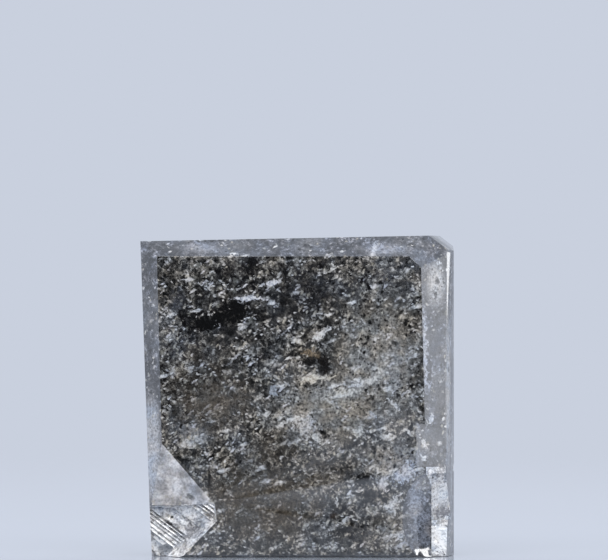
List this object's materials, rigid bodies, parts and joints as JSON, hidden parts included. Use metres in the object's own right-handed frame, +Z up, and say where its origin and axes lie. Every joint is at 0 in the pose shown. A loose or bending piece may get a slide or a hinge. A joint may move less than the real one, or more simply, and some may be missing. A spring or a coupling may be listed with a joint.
{
  "type": "salt and pepper diamond",
  "caption": "Bevelled, nearly square block of grey salt and pepper diamond, crowded with black, grey and white grains, with broken lower corners.",
  "frame": {"origin": "middle of the base, the flat lower side that the stone stands on", "axes": "+X to the right of the table as seen from the front, -Y out of the table, +Z up from the base"},
  "size_m": [0.0056, 0.0034, 0.0057],
  "materials": {
    "diamond": "polished, speckled black, grey and white inside"
  },
  "bodies": {
    "root": {"diamond": "diamond"}
  },
  "joints": []
}
